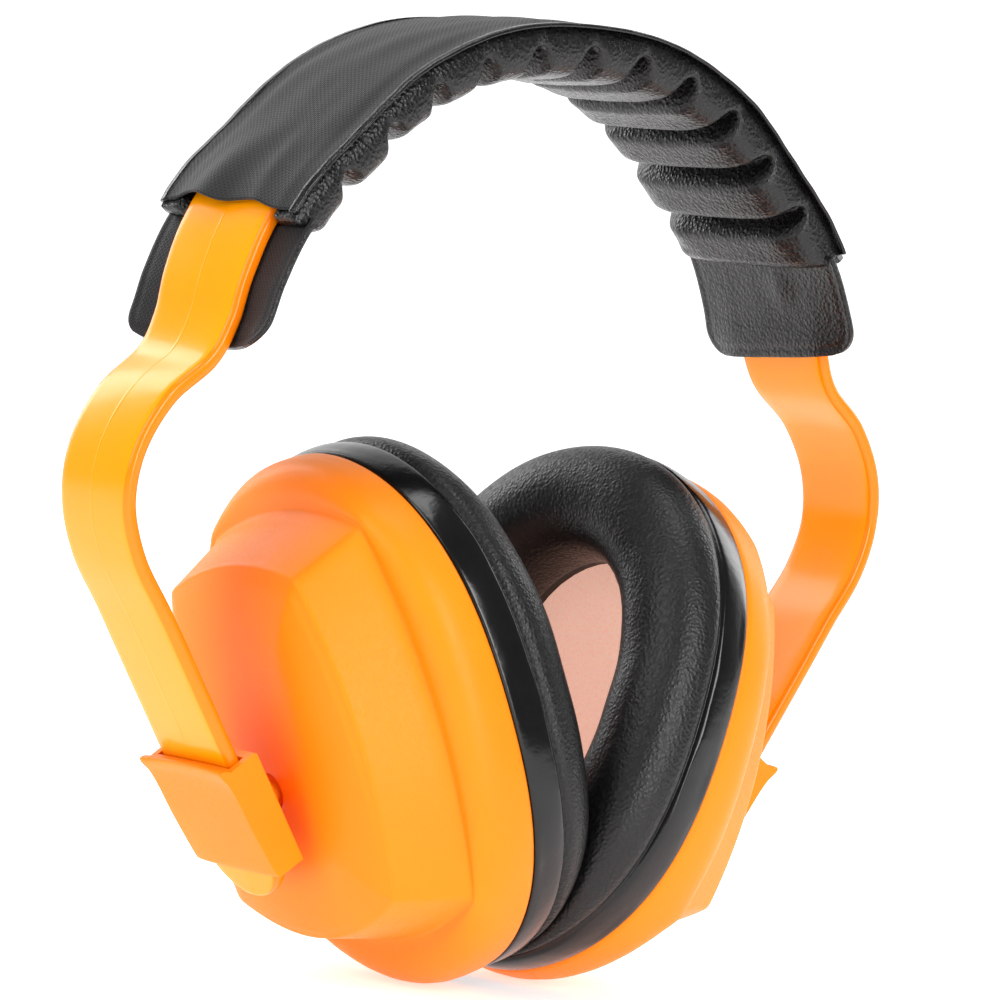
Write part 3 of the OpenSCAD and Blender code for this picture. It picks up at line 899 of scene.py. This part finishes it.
def make_cushion(side):
    one = np.ones(NPSI)
    # section control points: (fraction 0 outer rim .. 1 hole edge, offset mm from outer, offset mm from hole, w)
    ctrl = []
    def o(dr, w): ctrl.append(("o", dr, w))
    def hh(dr, w): ctrl.append(("h", dr, w))
    def m(fr, w): ctrl.append(("m", fr, w))
    o(-1.2, 0.05); o(-0.25, 0.0); o(0.05, -0.5); o(0.22, -2.2); o(0.28, -4.4); o(0.12, -6.4); o(-0.25, -7.25)
    o(-0.95, -7.75); o(-0.55, -8.35); o(-0.15, -9.3); o(-0.15, -10.8); o(-0.9, -13.2); o(-2.6, -15.8); o(-5.2, -17.8); o(-8.2, -18.95)
    m(0.5, -19.45)
    hh(7.6, -18.9); hh(4.7, -17.4); hh(2.4, -15.0); hh(0.9, -11.8); hh(0.2, -8.0); hh(0.4, -4.0); hh(1.5, -0.6)
    hh(4.0, 0.05); m(0.45, 0.1)
    nl0 = len(ctrl)
    Rr = np.zeros((NPSI, nl0)); Ww = np.zeros((NPSI, nl0))
    for j, (k, d, w) in enumerate(ctrl):
        Rr[:, j] = RIM + d if k == "o" else (EGG + d if k == "h" else RIM + (EGG - RIM) * d)
        Ww[:, j] = w
    # spline round the closed section
    pts = np.stack([Rr, Ww], -1).transpose(1, 0, 2)      # (nl, npsi, 2)
    sm = []
    sub = 4
    m_ = nl0
    for i in range(m_):
        a_, b_, c_, d_ = pts[(i - 1) % m_], pts[i], pts[(i + 1) % m_], pts[(i + 2) % m_]
        for k in range(sub):
            t = k / sub
            sm.append(0.5 * (2 * b_ + (c_ - a_) * t + (2 * a_ - 5 * b_ + 4 * c_ - d_) * t * t + (3 * b_ - a_ - 3 * c_ + d_) * t ** 3))
    sm = np.array(sm)                                     # (nl, npsi, 2)
    nl = len(sm)
    Q = np.zeros((NPSI, nl, 3))
    # soft unevenness of the padding
    pp, jj = np.meshgrid(PSI, np.arange(nl), indexing="ij")
    body = smoothstep(8 * sub, 12 * sub, jj) * (1 - smoothstep(20 * sub, 23 * sub, jj))
    ph = 0.0 if side == "left" else 2.0
    lump = 0.22 * np.sin(3 * pp + ph) + 0.16 * np.sin(5 * pp + 1.3 + ph) + 0.10 * np.sin(11 * pp + jj * 0.05 + ph)
    sidew = smoothstep(2 * sub, 3 * sub, jj) * (1 - smoothstep(5 * sub, 6 * sub, jj)) * (0.10 * np.sin(9 * pp + ph) + 0.07 * np.sin(17 * pp + 2 * ph))
    r_ = sm[..., 0].T + sidew
    w_ = sm[..., 1].T - body * lump
    # fine creases where the skin turns into the opening
    cre = smoothstep(17 * sub, 19 * sub, jj) * (1 - smoothstep(21 * sub, 22.5 * sub, jj))
    r_ = r_ + cre * 0.10 * np.sin(46 * pp + 3 * np.sin(7 * pp + ph)) * (0.5 + 0.5 * np.sin(3 * pp + 1 + ph))
    Q[..., 0] = w_; Q[..., 1] = r_ * np.sin(pp); Q[..., 2] = r_ * np.cos(pp)
    V = cup_pts(side, Q.reshape(-1, 3))
    over = press(V, side)
    ob = make("ear_cushion_skin_" + side, V, grid_faces(NPSI, nl, True, True))
    outward(ob)
    mask = (1 - smoothstep(7 * sub - 1, 7 * sub + 1, jj)).reshape(-1)
    attr_f(ob, "smooth_band", mask)
    ob.data.materials.append(M_CUSH)
    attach(ob, "cup_" + side)
    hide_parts("ear_cushion_" + side)
    return ob


cushions = {s: make_cushion(s) for s in SIDES}


def make_foam(side):
    rings = [(0.0, 1.0), (0.12, 1.0), (0.25, 1.05), (0.4, 1.15), (0.55, 1.35), (0.7, 1.7), (0.82, 2.1), (0.9, 2.6), (0.96, 3.4), (1.0, 5.0), (1.0, 9.0), (0.98, 12.0), (0.9, 13.3), (0.5, 13.4), (0.0, 13.4)]
    outl = polar(crest(19.5, 34.5, 4.8, 26, -29.1, 8.5, 6), 2.0)
    n = 180
    idx = np.arange(n) * (NPSI // n)
    V, faces = [], []
    V.append((rings[0][1], 0, 0))
    for f, w in rings[1:-1]:
        for i in idx:
            V.append((w, outl[i] * f * math.sin(PSI[i]), outl[i] * f * math.cos(PSI[i])))
    V.append((rings[-1][1], 0, 0))
    k = len(rings) - 2
    for j in range(n):
        faces.append((0, 1 + j, 1 + (j + 1) % n))
    for r0 in range(k - 1):
        for j in range(n):
            a = 1 + r0 * n
            faces.append((a + j, a + n + j, a + n + (j + 1) % n, a + (j + 1) % n))
    for j in range(n):
        faces.append((len(V) - 1, 1 + (k - 1) * n + (j + 1) % n, 1 + (k - 1) * n + j))
    V = cup_pts(side, np.array(V, float))
    ob = make("ear_foam_" + side, V, faces)
    outward(ob)
    ob.data.materials.append(M_FOAM)
    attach(ob, "cup_" + side)
    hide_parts("sound_foam_" + side)
    return ob


foams = {s: make_foam(s) for s in SIDES}

# ------------------------------------------------------------------ carried-over CAD parts
for nm, ob in NODES.items():
    mat = None
    if nm.startswith("ball_stud"):
        mat = M_HOLD
    elif nm.startswith("ball_seat"):
        mat = M_HOLD
    elif nm.startswith("cushion_plate"):
        mat = M_INNER
    elif nm.startswith("pivot_housing"):
        mat = M_CUP
    if mat is None:
        continue
    if not ob.data.materials:
        ob.data.materials.append(mat)
    for s in range(len(ob.material_slots)):
        ob.material_slots[s].link = "OBJECT"
        ob.material_slots[s].material = mat

# ------------------------------------------------------------------ stage, lights, camera
floor_z = LO0[2] - 0.0004


def make_stage():
    # floor that sweeps up far behind into a backdrop
    pts = [(-3.0, 0.0)]
    prof = [(-4.0, 0), (1.2, 0)] + [(1.2 + 0.9 * math.sin(t), 0.9 * (1 - math.cos(t))) for t in np.linspace(0.1, math.pi / 2, 12)] + [(2.1, 4.0)]
    az = math.radians(-41.2)
    fwd = np.array([-math.sin(az), math.cos(az)])
    side = np.array([math.cos(az), math.sin(az)])
    V, F = [], []
    for d, z in prof:
        for w in (-5, 5):
            q = fwd * d + side * w
            V.append((q[0] / MM, q[1] / MM, (z + floor_z) / MM))
    for i in range(len(prof) - 1):
        F.append((2 * i, 2 * i + 1, 2 * i + 3, 2 * i + 2))
    ob = make("floor", V, F)
    m = Mat("floor_paper")
    co = m.obj()
    m.link(m.mix(m.noise(co, 6, 3), (0.88, 0.88, 0.88, 1), (0.93, 0.93, 0.93, 1)), m.bsdf.inputs["Base Color"])
    m.set(Roughness=0.9)
    m.bsdf.inputs["Emission Color"].default_value = (1, 1, 1, 1)
    m.bsdf.inputs["Emission Strength"].default_value = 0.55
    ob.data.materials.append(m.m)
    return ob


make_stage()
scn = bpy.context.scene
world = bpy.data.worlds.new("studio")
scn.world = world
world.use_nodes = True
bg = world.node_tree.nodes["Background"]
bg.inputs[0].default_value = (1, 1, 1, 1)
bg.inputs[1].default_value = 0.26


def area(name, loc, target, size, energy, color=(1, 1, 1), size_y=None):
    l = bpy.data.lights.new(name, "AREA")
    l.energy = energy; l.size = size; l.color = color
    if size_y:
        l.shape = "RECTANGLE"; l.size_y = size_y
    o = bpy.data.objects.new(name, l)
    scn.collection.objects.link(o)
    o.location = loc
    o.rotation_euler = (Vector(target) - Vector(loc)).to_track_quat("-Z", "Y").to_euler()
    return o


az, el, roll = math.radians(-41.2), math.radians(3.16), math.radians(4.57)
b = np.array([math.sin(az) * math.cos(el), -math.cos(az) * math.cos(el), math.sin(el)])
rt = np.array([math.cos(az), math.sin(az), 0])
up = np.cross(b, rt)
r_ = rt * math.cos(roll) + up * math.sin(roll)
u_ = -rt * math.sin(roll) + up * math.cos(roll)
C = (b * 1110 + r_ * 2.24 + u_ * 5.66 + np.array([0, 0, -87.0 + LIFT])) * MM
cam = bpy.data.cameras.new("camera")
cam.lens = 5563 / 1000 * 36; cam.sensor_width = 36; cam.sensor_fit = "HORIZONTAL"
cam.clip_start = 0.05; cam.clip_end = 50
co = bpy.data.objects.new("camera", cam)
M4 = Matrix(((r_[0], u_[0], b[0], C[0]), (r_[1], u_[1], b[1], C[1]), (r_[2], u_[2], b[2], C[2]), (0, 0, 0, 1)))
co.matrix_world = M4
scn.collection.objects.link(co)
scn.camera = co

ctr = np.array([0, 0, -0.085])


def at(right, upw, toward):
    """place relative to the camera's axes, metres from the object's middle"""
    return tuple(ctr + rt * right + np.array([0, 0, 1.0]) * upw + np.array([b[0], b[1], 0]) * toward)


T = tuple(ctr)
area("key_left", at(-0.75, 0.65, 0.75), T, 0.55, 6.4, (1, 0.985, 0.96), 0.8)
area("fill_right", at(0.60, 0.35, 0.90), T, 0.32, 9.0, (1, 0.99, 0.97), 0.8)
area("top", at(0.0, 1.1, 0.05), T, 0.6, 6.0)
area("rim_back_left", at(-0.8, 0.5, -0.7), T, 0.4, 5.0, (1, 1, 1), 0.9)
area("rim_back_right", at(0.8, 0.5, -0.75), T, 0.4, 3.8, (1, 1, 1), 0.9)
scn.view_settings.view_transform = "Standard"
scn.view_settings.look = "None"

bpy.context.view_layer.update()
